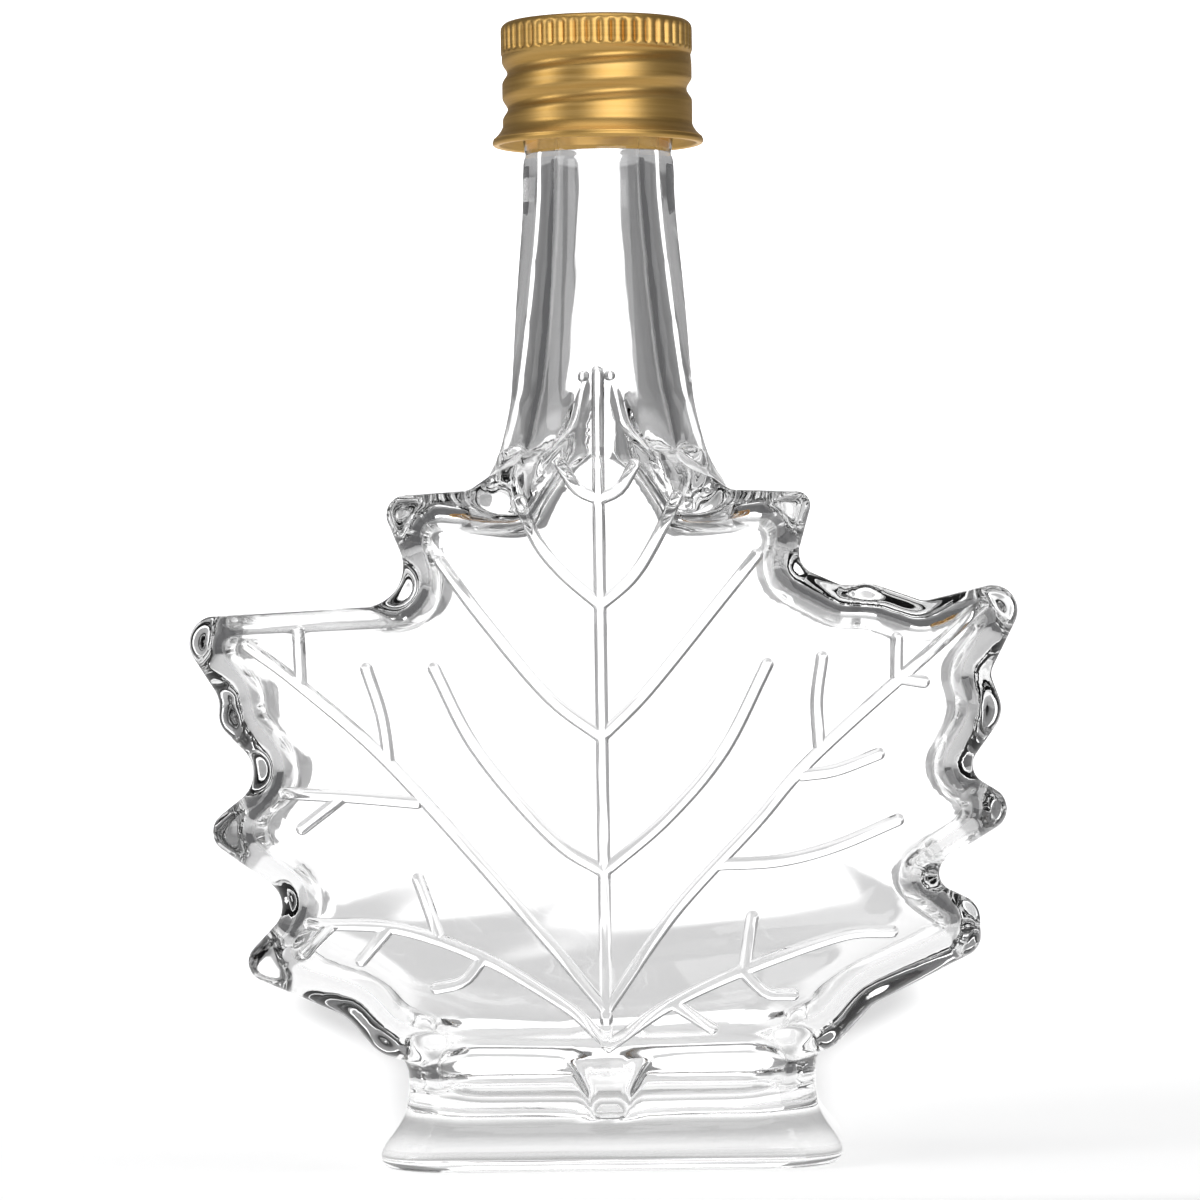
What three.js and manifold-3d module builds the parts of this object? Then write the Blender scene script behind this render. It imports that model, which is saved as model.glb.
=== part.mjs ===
// Maple leaf bottle: a clear glass bottle whose body is a maple leaf, with a gold screw cap.
// Millimetres, +Z up. The bottle stands on z = 0, and the veined face of the leaf looks along -Y.
import * as THREE from 'three';
import { mergeVertices } from 'three/addons/utils/BufferGeometryUtils.js';
import Module from 'manifold-3d';

const wasm = await Module();
wasm.setup();

// Driving sizes of the leaf-shaped body
const halfDepth = 15;
const rimRadius = 4.6;
const wall = 3;
const floorHeight = 7;

// Driving sizes of the neck
const neckTop = 131.2;
const finishStart = 118.4;
const finishRadius = 9.2;
const boreTop = 4.9;
const boreBottom = 6.6;

// Driving sizes of the foot
const waistHalfWidth = 24;
const waistHalfDepth = 12.6;
const baseHalfWidth = 26.8;
const baseHalfDepth = 17;

// Driving sizes of the veins and the cap
const veinWidth = 1.5;
const veinHeight = 0.55;
const capTop = 134;
const capBottom = 119.4;
const capRadius = 11.3;
const curlRadius = 12.45;
const capWall = 0.65;
const fluteCount = 48;
const fluteDepth = 0.32;
const groovePitch = 4.25;
const grooveDepth = 0.62;

// The leaf's outline seen from the front: each corner as x, z and the radius that rounds it.
// The hollow follows only the main corners, marked hollow, because glass fills the small teeth.
const hollow = true;
const leafCorners = [
  [-9.0, 83.0, 2, hollow],
  [-15.3, 78.8, 3],
  [-26.0, 78.2, 2.3, hollow],
  [-21.0, 65.8, 4.6, hollow],
  [-50.65, 64.5, 3.3, hollow],
  [-44.6, 55.0, 4.4],
  [-45.0, 52.1, 5],
  [-39.1, 46.0, 3.8, hollow],
  [-47.4, 39.5, 2.5, hollow],
  [-36.2, 31.3, 3.2, hollow],
  [-43.5, 23.6, 2.3, hollow],
  [-30.5, 17.9, 5],
  [-26.9, 13.6, 4.4, hollow],
  [-18.0, 10.9, 3],
  [18.0, 10.9, 3],
  [26.1, 13.7, 3.5, hollow],
  [30.6, 18.5, 3.6],
  [43.2, 24.8, 2.4, hollow],
  [43.1, 30.0, 2.9],
  [36.3, 33.3, 2.6, hollow],
  [48.7, 40.9, 2.7, hollow],
  [41.6, 45.4, 2.2, hollow],
  [46.4, 52.0, 3.6],
  [44.7, 56.6, 2.0],
  [50.65, 68.2, 3.0, hollow],
  [37.2, 65.1, 2.5, hollow],
  [30.5, 67.5, 3.1],
  [28.1, 66.9, 5],
  [22.4, 69.5, 2.5, hollow],
  [24.8, 78.0, 1.7, hollow],
  [14.9, 78.4, 3],
  [9.0, 83.0, 2, hollow],
];

// The leaf's middle lobe, which stands proud of the neck, as x, z and radius
const lobeCorners = [
  [10.0, 70.0, 1],
  [9.3, 77.7, 0.8],
  [6.4, 82.2, 3],
  [3.2, 86.0, 3],
  [1.5, 94.6, 1],
  [-1.5, 94.6, 1],
  [-3.2, 86.0, 3],
  [-6.4, 82.2, 3],
  [-9.3, 77.7, 0.8],
  [-10.0, 70.0, 1],
];

// The space behind the middle lobe, as x, z and radius
const lobeSpaceCorners = [
  [9.2, 68.0, 1],
  [8.4, 76.6, 3],
  [4.2, 82.5, 4],
  [1.9, 91.0, 1],
  [-1.9, 91.0, 1],
  [-4.2, 82.5, 4],
  [-8.4, 76.6, 3],
  [-9.2, 68.0, 1],
];

// The leaf's stem, which comes out of the leaf's lower rim and runs down over the foot
const stemCorners = [
  [-14.0, 16.5, 1],
  [-5.2, 13.4, 7],
  [-2.7, 8.8, 4],
  [-1.7, 5.9, 0.7],
  [1.7, 5.9, 0.7],
  [2.7, 8.8, 4],
  [5.2, 13.4, 7],
  [14.0, 16.5, 1],
];

// The veins on the leaf's front face, each as points x, z along its middle line
const veins = [
  [[-0.1, 78], [-0.2, 14.6]],
  [[-0.1, 90.6], [-0.1, 86], [-0.1, 81], [-0.1, 77]],
  [[0, 77.4], [-2.6, 78.7], [-4.4, 81.6]],
  [[0, 77.4], [2.4, 78.6], [4.0, 81.3]],
  [[-0.1, 65.2], [-4.5, 69.1], [-7.3, 72.7], [-9.2, 77.4]],
  [[-0.1, 65.2], [3.6, 68.3], [6.2, 72.2], [8.9, 77.6]],
  [[-0.2, 50.0], [-6.4, 54.9], [-13.6, 63.7], [-18.5, 70.5]],
  [[-0.2, 50.0], [5.3, 55.4], [14.2, 66.1], [18.0, 70.7]],
  [[-0.2, 34.5], [-6.1, 38.5], [-14.6, 48.7], [-19.4, 58.2]],
  [[-0.2, 34.5], [7.2, 40.6], [13.8, 48.2], [19.0, 58.1]],
  [[-0.2, 18.6], [-8.7, 28.9], [-24.3, 46.9], [-34.8, 56.5], [-40.9, 61.2]],
  [[-34.8, 56.5], [-35.0, 62.6]],
  [[-24.8, 47.6], [-25.5, 52.8], [-27.2, 58.3]],
  [[-21.6, 42.8], [-29.6, 43.6], [-36.9, 44.1]],
  [[-30.4, 43.4], [-34.9, 40.0]],
  [[-0.2, 14.9], [-5.1, 19.3], [-14.3, 24.8], [-24.0, 28.3], [-34.3, 29.0]],
  [[-19.4, 27.5], [-21.6, 34.0]],
  [[-25.2, 28.2], [-28.3, 24.7]],
  [[-31.7, 28.8], [-34.9, 25.6]],
  [[-14.4, 24.6], [-16.5, 22.2], [-19.7, 21.4]],
  [[-0.2, 18.6], [8.0, 29.9], [17.6, 40.1], [24.8, 48.0], [43.8, 64.5]],
  [[24.8, 48.7], [24.6, 53.9], [25.3, 58.8]],
  [[22.8, 45.3], [26.6, 45.8], [31.6, 47.6]],
  [[13.0, 35.2], [20.0, 35.5], [26.5, 37.1], [33.7, 40.0]],
  [[33.8, 56.5], [33.9, 60.8]],
  [[34.0, 56.3], [36.9, 55.8]],
  [[0.1, 14.5], [7.3, 19.2], [15.8, 23.0], [26.9, 26.8], [32.8, 27.2]],
  [[15.8, 23.3], [16.8, 29.1]],
  [[15.4, 23.0], [18.2, 20.4], [21.3, 20.1]],
  [[7.4, 19.3], [11.9, 16.4]],
];

// The neck's outer radius at each height, from its mouth down into the body
const neckProfile = [
  [finishRadius, finishStart],
  [8.8, finishStart - 0.3],
  [8.95, 117.0],
  [8.95, 113.0],
  [9.97, 101.0],
  [10.6, 92.0],
  [11.0, 88.5],
  [12.2, 83.7],
  [13.4, 81.1],
  [15.0, 79.4],
];

// The foot's half width and half depth at each height, from the ground up
const footProfile = [
  [25.0, 15.3, 0],
  [26.2, 16.4, 0.5],
  [baseHalfWidth, baseHalfDepth, 1.5],
  [baseHalfWidth, baseHalfDepth, 2.4],
  [26.2, 16.3, 3.3],
  [25.1, 14.9, 4.6],
  [24.3, 13.4, 5.8],
  [waistHalfWidth, waistHalfDepth, 7.2],
  [waistHalfWidth, waistHalfDepth, 17],
];

const clamp = THREE.MathUtils.clamp;
const smoothstep = THREE.MathUtils.smoothstep;

// Moves every corner of an outline the same distance along its bisector, into the material.
function movedCorners(corners, distance, mitre) {
  return corners.map(([x, z, radius], i) => {
    const corner = new THREE.Vector2(x, z);
    const before = new THREE.Vector2(...corners.at(i - 1)).sub(corner).normalize();
    const after = new THREE.Vector2(...corners[(i + 1) % corners.length]).sub(corner).normalize();
    const inward = new THREE.Vector2().subVectors(before, after);
    inward.set(inward.y, -inward.x).normalize();
    const halfAngleSine = Math.sqrt((1 - clamp(before.dot(after), -1, 1)) / 2);
    const reach = mitre ? distance / Math.max(halfAngleSine, 0.3) : distance;
    corner.addScaledVector(inward, reach);
    return [corner.x, corner.y, radius];
  });
}

// Rounds the corners of an outline. counts fixes how many steps each arc has, so that rings match.
function roundedOutline(corners, counts) {
  const points = [];
  corners.forEach(([x, z, radius], i) => {
    const corner = new THREE.Vector2(x, z);
    const before = new THREE.Vector2(...corners.at(i - 1)).sub(corner);
    const after = new THREE.Vector2(...corners[(i + 1) % corners.length]).sub(corner);
    const room = 0.49 * Math.min(before.length(), after.length());
    before.normalize();
    after.normalize();
    const half = Math.acos(clamp(before.dot(after), -1, 1)) / 2;
    const reach = Math.min(radius / Math.tan(half), room);
    const start = corner.clone().addScaledVector(before, reach);
    const end = corner.clone().addScaledVector(after, reach);
    const centreDistance = reach / Math.cos(half);
    const centre = corner.clone().add(before.clone().add(after).setLength(centreDistance));
    const from = start.clone().sub(centre);
    const sweep = wrappedAngle(end.clone().sub(centre).angle() - from.angle());
    for (let k = 0; k <= counts[i]; k += 1) {
      points.push(from.clone().rotateAround(new THREE.Vector2(), (sweep * k) / counts[i]).add(centre));
    }
  });
  return points;
}

// Brings an angle into the range from minus half a turn to plus half a turn.
function wrappedAngle(angle) {
  return angle - 2 * Math.PI * Math.round(angle / (2 * Math.PI));
}

// Gives each corner one arc step for about every stepDegrees that the outline turns there.
function arcCounts(corners, stepDegrees) {
  return corners.map(([x, z], i) => {
    const corner = new THREE.Vector2(x, z);
    const before = corner.clone().sub(new THREE.Vector2(...corners.at(i - 1)));
    const after = new THREE.Vector2(...corners[(i + 1) % corners.length]).sub(corner);
    const turn = Math.abs(wrappedAngle(after.angle() - before.angle()));
    return Math.max(1, Math.round(THREE.MathUtils.radToDeg(turn) / stepDegrees));
  });
}

// Skins a stack of matching rings, each a list of points and a level, and closes both ends.
function loft(rings) {
  const outline = rings[0].points;
  const shape = new THREE.Shape(outline);
  const steps = rings.length - 1;
  const geometry = new THREE.ExtrudeGeometry(shape, { depth: steps, steps, bevelEnabled: false });
  const place = geometry.getAttribute('position');
  for (let v = 0; v < place.count; v += 1) {
    const ring = rings[Math.round(place.getZ(v))];
    const here = new THREE.Vector2(place.getX(v), place.getY(v));
    const gaps = outline.map((point) => point.distanceToSquared(here));
    const point = ring.points[gaps.indexOf(Math.min(...gaps))];
    const level = typeof ring.level === 'function' ? ring.level(point) : ring.level;
    place.setXYZ(v, point.x, point.y, level);
  }
  return geometry;
}

// Turns a geometry drawn in x, z with its depth upwards so that its depth runs along -Y.
function facingFront(geometry) {
  return geometry.rotateX(Math.PI / 2);
}

// Makes a closed geometry into a solid that can be cut and joined.
function solid(geometry) {
  geometry.deleteAttribute('normal');
  geometry.deleteAttribute('uv');
  const merged = mergeVertices(geometry, 1e-4);
  const vertProperties = new Float32Array(merged.getAttribute('position').array);
  const triVerts = new Uint32Array(merged.index.array);
  return new wasm.Manifold(new wasm.Mesh({ numProp: 3, vertProperties, triVerts }));
}

// Makes a solid back into a geometry for a mesh.
function geometryOf(manifold) {
  const mesh = manifold.getMesh();
  const geometry = new THREE.BufferGeometry();
  const points = new Float32Array(mesh.vertProperties);
  geometry.setAttribute('position', new THREE.BufferAttribute(points, 3));
  geometry.setIndex(new THREE.BufferAttribute(new Uint32Array(mesh.triVerts), 1));
  geometry.computeVertexNormals();
  return geometry;
}

// Spins a profile of radius, height pairs round the z axis.
function spun(profile, segments) {
  const points = profile.map(([radius, height]) => new THREE.Vector2(radius, height));
  return new THREE.LatheGeometry(points, segments).rotateX(Math.PI / 2);
}

// Builds a leaf-shaped slab with rounded rims from its corners.
function slab(corners, depth, rim, stepDegrees, radiusGain) {
  const counts = arcCounts(corners, stepDegrees);
  const rimSteps = 3;
  const half = [];
  for (let k = 0; k <= rimSteps; k += 1) {
    const angle = (k / rimSteps) * (Math.PI / 2);
    const inset = rim * (1 - Math.sin(angle));
    const grown = movedCorners(corners, inset, false).map(([x, z, r]) => [x, z, r + radiusGain * inset]);
    half.push({ points: roundedOutline(grown, counts), level: depth - rim * (1 - Math.cos(angle)) });
  }
  const back = half.map(({ points, level }) => ({ points, level: -level }));
  return solid(facingFront(loft([...back, ...half.reverse()])));
}

// How far the middle lobe's face stands from the mid-plane at height z: it leans back along the neck.
function lobeFace(point) {
  const lean = smoothstep(point.y, 79, 94.6);
  return halfDepth - 4.8 * lean;
}

// Builds the middle lobe with a small chamfer round its face, on the front or the back.
function lobe(side) {
  const chamfer = 0.9;
  const counts = arcCounts(lobeCorners, 25);
  const edge = roundedOutline(lobeCorners, counts);
  const face = roundedOutline(movedCorners(lobeCorners, chamfer, false), counts);
  const rings = [
    { points: edge, level: 3 },
    { points: edge, level: (point) => lobeFace(point) - chamfer },
    { points: face, level: lobeFace },
  ];
  const geometry = facingFront(loft(rings));
  return solid(side === 'front' ? geometry : geometry.rotateZ(Math.PI));
}

// Builds the round knob that sits beside the middle lobe, where the neck meets the shoulder.
function knob(sign) {
  const knobRadius = 2.6;
  return solid(new THREE.SphereGeometry(knobRadius, 12, 8).translate(sign * 9.9, -7.4, 81.4));
}

// Builds the leaf's stem over the front of the foot, thinner towards its cut end.
function stem() {
  const chamfer = 1.2;
  const counts = arcCounts(stemCorners, 25);
  const edge = roundedOutline(stemCorners, counts);
  const face = roundedOutline(movedCorners(stemCorners, chamfer, false), counts);
  const stemFace = (point) => 15.3 - 1.6 * smoothstep(point.y, 9, 16.5);
  const rings = [
    { points: edge, level: 8 },
    { points: edge, level: (point) => stemFace(point) - chamfer },
    { points: face, level: stemFace },
  ];
  return solid(facingFront(loft(rings)));
}

// Builds one raised vein: a rounded ribbon along a curve, with sloping sides and round ends.
function vein(points) {
  const path = new THREE.SplineCurve(points.map(([x, z]) => new THREE.Vector2(x, z)));
  const pieces = points.length === 2 ? 1 : 2 * points.length;
  const half = veinWidth / 2;
  const left = [];
  const right = [];
  for (let k = 0; k <= pieces; k += 1) {
    const middle = path.getPoint(k / pieces);
    const along = path.getTangent(k / pieces);
    left.push(new THREE.Vector2(middle.x - along.y * half, middle.y + along.x * half));
    right.push(new THREE.Vector2(middle.x + along.y * half, middle.y - along.x * half));
  }
  const end = path.getPoint(1).addScaledVector(path.getTangent(1), half);
  const start = path.getPoint(0).addScaledVector(path.getTangent(0), -half);
  const shape = new THREE.Shape([start, ...right, end, ...left.reverse()]);
  const slope = 0.42;
  const geometry = new THREE.ExtrudeGeometry(shape, {
    depth: 2,
    bevelThickness: veinHeight,
    bevelSize: slope,
    bevelOffset: -slope,
    bevelSegments: 1,
  });
  const place = geometry.getAttribute('position');
  for (let v = 0; v < place.count; v += 1) {
    const here = new THREE.Vector2(place.getX(v), place.getY(v));
    place.setZ(v, place.getZ(v) - 2 + lobeFace(here));
  }
  return solid(facingFront(geometry));
}

// A ring of the foot: a rectangle with round corners, seen from above.
function footRing([halfWidth, halfDepthHere, level], shrink) {
  const x = halfWidth - shrink;
  const y = halfDepthHere - shrink;
  const corner = 7 - shrink;
  const corners = [[-x, -y, corner], [x, -y, corner], [x, y, corner], [-x, y, corner]];
  return { points: roundedOutline(corners, [5, 5, 5, 5]), level };
}

// Builds the bottle's outer form: leaf, middle lobe, knobs, neck, foot, stem and veins.
function bottleOutside() {
  const lip = 0.9;
  const neckOutside = [
    [0, neckTop],
    [finishRadius - lip, neckTop],
    [finishRadius, neckTop - lip],
    ...neckProfile,
    [15.0, 74],
    [0, 74],
  ];
  const neck = solid(spun(neckOutside.reverse(), 44));
  const foot = solid(loft(footProfile.map((ring) => footRing(ring, 0))));
  const pieces = [lobe('front'), lobe('back'), knob(-1), knob(1), neck, foot, stem()];
  const body = pieces.reduce((all, piece) => all.add(piece), slab(leafCorners, halfDepth, rimRadius, 22, 0.5));
  return veins.map(vein).reduce((all, piece) => all.add(piece), body);
}

// Builds the space behind the middle lobe, with its faces parallel to the lobe's.
function lobeSpace() {
  const points = roundedOutline(lobeSpaceCorners, arcCounts(lobeSpaceCorners, 30));
  const rings = [
    { points, level: (point) => wall - lobeFace(point) },
    { points, level: (point) => lobeFace(point) - wall },
  ];
  return solid(facingFront(loft(rings)));
}

// Builds the space inside: the leaf's hollow, the well in the foot and the bore of the neck.
function bottleInside() {
  const mainCorners = leafCorners.filter((corner) => corner[3]);
  const innerCorners = movedCorners(mainCorners, wall, true).map(([x, z]) => [x, z, 3.5]);
  const leafSpace = slab(innerCorners, halfDepth - wall, 3.2, 30, 0.3);
  const wellRings = [
    [waistHalfWidth - 2, waistHalfDepth - 2, floorHeight],
    [waistHalfWidth, waistHalfDepth, floorHeight + 1.6],
    [waistHalfWidth, waistHalfDepth, 17],
  ];
  const well = solid(loft(wellRings.map((ring) => footRing(ring, wall + 0.4))));
  const boreProfile = [
    [0, 70],
    [10, 70],
    [10, 79],
    [8.4, 83],
    [7.2, 89],
    [boreBottom, 95],
    [boreTop, 115],
    [boreTop, neckTop + 3],
    [0, neckTop + 3],
  ];
  const bore = solid(spun(boreProfile, 28));
  return leafSpace.add(lobeSpace()).add(well).add(bore);
}

// How deep the rolled groove is at an angle and height. It winds down from under the flutes.
function groove(angle, height) {
  const grooveStart = 130.5;
  const grooveTurns = 1.75;
  const grooveHalfWidth = 1.35;
  const part = (((-angle / (2 * Math.PI)) % 1) + 1) % 1;
  const turns = part + Math.round((grooveStart - height) / groovePitch - part);
  const away = (height - (grooveStart - groovePitch * turns)) / grooveHalfWidth;
  const fade = smoothstep(turns, -0.05, 0.12) * (1 - smoothstep(turns, grooveTurns - 0.2, grooveTurns));
  return Math.abs(away) < 1 ? (grooveDepth * fade * (1 + Math.cos(Math.PI * away))) / 2 : 0;
}

// Builds the cap's skirt: a plain band, the helical groove and the curled lower edge.
function skirt() {
  const skirtRadius = capRadius - 0.1;
  const profile = [
    [0, capBottom + 0.9],
    [curlRadius - 0.9, capBottom + 0.2],
    [curlRadius - 0.45, capBottom],
    [curlRadius, capBottom + 0.55],
    [curlRadius - 0.1, capBottom + 1.1],
    [skirtRadius + 0.45, capBottom + 1.7],
    [skirtRadius, capBottom + 2.4],
  ];
  const rowStep = 0.66;
  for (let height = capBottom + 3.4; height < 131; height += rowStep) {
    profile.push([skirtRadius, height]);
  }
  profile.push([skirtRadius - 1, 131.4], [0, 131.4]);
  const geometry = spun(profile, 64);
  const place = geometry.getAttribute('position');
  for (let v = 0; v < place.count; v += 1) {
    const radius = Math.hypot(place.getX(v), place.getY(v));
    if (Math.abs(radius - skirtRadius) < 0.01 && place.getZ(v) < 131) {
      const angle = Math.atan2(place.getY(v), place.getX(v));
      const scale = 1 - groove(angle, place.getZ(v)) / radius;
      place.setXYZ(v, place.getX(v) * scale, place.getY(v) * scale, place.getZ(v));
    }
  }
  return solid(geometry);
}

// Builds the cap's head: a ring of rounded flutes under a flat top with a round edge.
function head() {
  const headBottom = 130.2;
  const perFlute = 4;
  const points = [];
  for (let k = 0; k < fluteCount * perFlute; k += 1) {
    const angle = (2 * Math.PI * k) / (fluteCount * perFlute);
    const radius = capRadius - (fluteDepth * (1 - Math.cos(fluteCount * angle))) / 2;
    points.push(new THREE.Vector2(radius * Math.cos(angle), radius * Math.sin(angle)));
  }
  const shape = new THREE.Shape(points);
  const depth = capTop - headBottom - 0.9;
  const flutes = new THREE.ExtrudeGeometry(shape, { depth, steps: 1, bevelEnabled: false });
  flutes.translate(0, 0, headBottom);
  const top = spun([
    [0, headBottom + 0.5],
    [capRadius - 0.5, headBottom + 0.5],
    [capRadius - 0.42, capTop - 0.9],
    [capRadius - 0.75, capTop - 0.35],
    [capRadius - 1.4, capTop],
    [0, capTop],
  ], 48);
  return solid(flutes).add(solid(top));
}

// Builds the whole cap: skirt and head, hollow and open below.
function capSolid() {
  const innerRadius = capRadius - grooveDepth - capWall;
  const inside = spun([
    [0, capBottom - 2],
    [curlRadius - 1.0, capBottom - 2],
    [curlRadius - 1.0, capBottom + 0.5],
    [innerRadius, capBottom + 2.1],
    [innerRadius, capTop - 1.3],
    [0, capTop - 1.3],
  ], 40);
  return skirt().add(head()).subtract(solid(inside));
}

// Joins the pieces into the two parts of the object
const glassMaterial = new THREE.MeshStandardMaterial({
  color: 0xeef2f2,
  roughness: 0.05,
  metalness: 0,
  transparent: true,
  opacity: 0.35,
});
const goldMaterial = new THREE.MeshStandardMaterial({ color: 0xc79a3c, roughness: 0.35, metalness: 1 });

const bottle = new THREE.Mesh(geometryOf(bottleOutside().subtract(bottleInside())), glassMaterial);
bottle.name = 'bottle';

const cap = new THREE.Mesh(geometryOf(capSolid()), goldMaterial);
cap.name = 'cap';

const mapleLeafBottle = new THREE.Group();
mapleLeafBottle.add(bottle, cap);

export default mapleLeafBottle;
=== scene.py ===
# %% [markdown]
# # Maple leaf bottle
# This lesson builds a clear glass bottle whose body is a maple leaf, with a gold screw cap.
# The bottle is made of simple forms that are joined, hollowed and given a glass material.
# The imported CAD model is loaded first. It is the frame that every piece is built in, and its
# plain bottle and cap are replaced here by finer ones of the same size.

# %% Load the frame
import math

import bmesh
import bpy
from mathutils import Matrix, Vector


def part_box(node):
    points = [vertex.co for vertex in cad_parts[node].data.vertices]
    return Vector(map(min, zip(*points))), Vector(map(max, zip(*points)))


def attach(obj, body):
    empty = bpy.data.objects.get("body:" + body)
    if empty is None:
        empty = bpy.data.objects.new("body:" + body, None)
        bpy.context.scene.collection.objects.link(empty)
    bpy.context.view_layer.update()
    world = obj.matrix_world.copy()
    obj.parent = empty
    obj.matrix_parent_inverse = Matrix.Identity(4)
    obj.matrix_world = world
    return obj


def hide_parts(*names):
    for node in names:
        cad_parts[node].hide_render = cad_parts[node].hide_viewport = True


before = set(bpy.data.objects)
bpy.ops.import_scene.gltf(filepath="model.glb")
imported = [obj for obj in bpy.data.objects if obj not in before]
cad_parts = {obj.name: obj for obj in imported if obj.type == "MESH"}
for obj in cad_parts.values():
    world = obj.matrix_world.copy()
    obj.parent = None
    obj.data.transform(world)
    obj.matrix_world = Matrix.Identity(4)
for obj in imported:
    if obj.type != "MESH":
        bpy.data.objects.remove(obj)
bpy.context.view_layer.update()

MM = 0.001

# %% [markdown]
# ## The sizes
# All lengths are in millimetres, as in the CAD model, and become metres when a mesh is made.
# The heights and widths come from the frame, so that the fine pieces fill the same box.

# %% Name the sizes
bottle_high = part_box("bottle")[1] / MM
cap_low, cap_high = (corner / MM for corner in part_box("cap"))

HALF_DEPTH = 15.0
RIM = 4.6
WALL = 3.0
NECK_TOP = bottle_high.z
BASE_HALF_WIDTH = 26.8
BASE_HALF_DEPTH = bottle_high.y
WAIST_HALF_WIDTH = 24.0
WAIST_HALF_DEPTH = 12.6
FLOOR_HEIGHT = 7.0
VEIN_WIDTH = 1.5
VEIN_HEIGHT = 0.62
CAP_TOP = cap_high.z
CAP_BOTTOM = cap_low.z
CURL_RADIUS = cap_high.x
CAP_RADIUS = 11.3
print("neck top", round(NECK_TOP, 2), "cap from", round(CAP_BOTTOM, 2), "to", round(CAP_TOP, 2))

# %% [markdown]
# ## The camera
# It stands level with the middle of the bottle, a little to the right, and looks at it with a
# long lens. The photograph leans by about one degree, so the camera is rolled by that much.

# %% Place the camera
CAMERA_DISTANCE = 610.0
CAMERA_HEIGHT = 65.8
CAMERA_AZIMUTH = math.radians(2.0)
CAMERA_ROLL = math.radians(-0.95)
VIEW_WIDTH = 141.6
AIM_X = -0.65

camera_data = bpy.data.cameras.new("camera")
camera_data.sensor_width = 36
camera_data.lens = 36 * CAMERA_DISTANCE / VIEW_WIDTH
camera_data.clip_start = 0.05
camera_data.clip_end = 20
camera = bpy.data.objects.new("camera", camera_data)
bpy.context.scene.collection.objects.link(camera)
bpy.context.scene.camera = camera

aim = Vector((AIM_X, 0, CAMERA_HEIGHT)) * MM
towards_camera = Vector((math.sin(CAMERA_AZIMUTH), -math.cos(CAMERA_AZIMUTH), 0))
camera.location = aim + towards_camera * CAMERA_DISTANCE * MM
look = (aim - camera.location).to_track_quat("-Z", "Y")
camera.rotation_euler = look.to_matrix().to_euler()
camera.rotation_euler.rotate_axis("Z", CAMERA_ROLL)
print("camera lens", round(camera_data.lens, 1), "mm at", tuple(round(c, 3) for c in camera.location))

# %% [markdown]
# ## Small tools for making meshes
# A form is often a stack of rings with the same number of points. `skin` makes the first ring
# with a circle operator, extrudes its edges once for each further ring, and closes both ends.

# %% Define the mesh tools
def finished(mesh, name, smooth=True):
    """Turns a bmesh into an object in the scene, with its faces pointing outwards."""
    bmesh.ops.recalc_face_normals(mesh, faces=mesh.faces)
    data = bpy.data.meshes.new(name)
    for face in mesh.faces:
        face.smooth = smooth
    mesh.to_mesh(data)
    mesh.free()
    piece = bpy.data.objects.new(name, data)
    bpy.context.scene.collection.objects.link(piece)
    return piece


def skin(mesh, rings, close_ends=True):
    """Skins matching rings of points, given in millimetres, into one closed form."""
    place = mesh.verts.layers.int.get("place") or mesh.verts.layers.int.new("place")
    verts = bmesh.ops.create_circle(mesh, segments=len(rings[0]), radius=1)["verts"]
    for index, vert in enumerate(verts):
        vert[place] = index
        vert.co = Vector(rings[0][index]) * MM
    edges = list({edge for vert in verts for edge in vert.link_edges})
    first = edges
    for ring in rings[1:]:
        grown = bmesh.ops.extrude_edge_only(mesh, edges=edges)["geom"]
        for item in grown:
            if isinstance(item, bmesh.types.BMVert):
                item.co = Vector(ring[item[place]]) * MM
        edges = [item for item in grown if isinstance(item, bmesh.types.BMEdge) and item.is_boundary]
    if close_ends:
        bmesh.ops.edgeloop_fill(mesh, edges=first)
        bmesh.ops.edgeloop_fill(mesh, edges=edges)


def spun(mesh, profile, steps):
    """Spins a profile of (radius, height) points once round the z axis."""
    made = []
    for radius, height in profile:
        made.append(bmesh.ops.create_vert(mesh, co=Vector((radius, 0, height)) * MM)["vert"][0])
    edges = [mesh.edges.new(pair) for pair in zip(made, made[1:])]
    bmesh.ops.spin(
        mesh, geom=made + edges, cent=(0, 0, 0), axis=(0, 0, 1),
        angle=2 * math.pi, steps=steps, use_merge=True,
    )
    bmesh.ops.remove_doubles(mesh, verts=mesh.verts, dist=1e-7)


def smoothstep(value, low, high):
    """Goes smoothly from 0 at low to 1 at high."""
    part = min(1.0, max(0.0, (value - low) / (high - low)))
    return part * part * (3 - 2 * part)


def eased(points, steps):
    """A smooth curve through points, with that many steps in each stretch."""
    padded = [2 * points[0] - points[1], *points, 2 * points[-1] - points[-2]]
    out = []
    for index in range(len(points) - 1):
        a, b, c, d = padded[index:index + 4]
        for step in range(steps):
            t = step / steps
            out.append(0.5 * (2 * b + (c - a) * t + (2 * a - 5 * b + 4 * c - d) * t * t
                              + (3 * b - a - 3 * c + d) * t * t * t))
    out.append(points[-1])
    return out


def joined(name, pieces, solver="MANIFOLD"):
    """Joins closed pieces into one by a Boolean union, and removes the pieces."""
    collection = bpy.data.collections.new(name + "_pieces")
    bpy.context.scene.collection.children.link(collection)
    for piece in pieces[1:]:
        collection.objects.link(piece)
    modifier = pieces[0].modifiers.new("join", "BOOLEAN")
    modifier.operation = "UNION"
    modifier.operand_type = "COLLECTION"
    modifier.collection = collection
    modifier.solver = solver
    result = applied(pieces[0], name)
    for piece in pieces:
        bpy.data.objects.remove(piece, do_unlink=True)
    bpy.data.collections.remove(collection)
    return result


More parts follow.
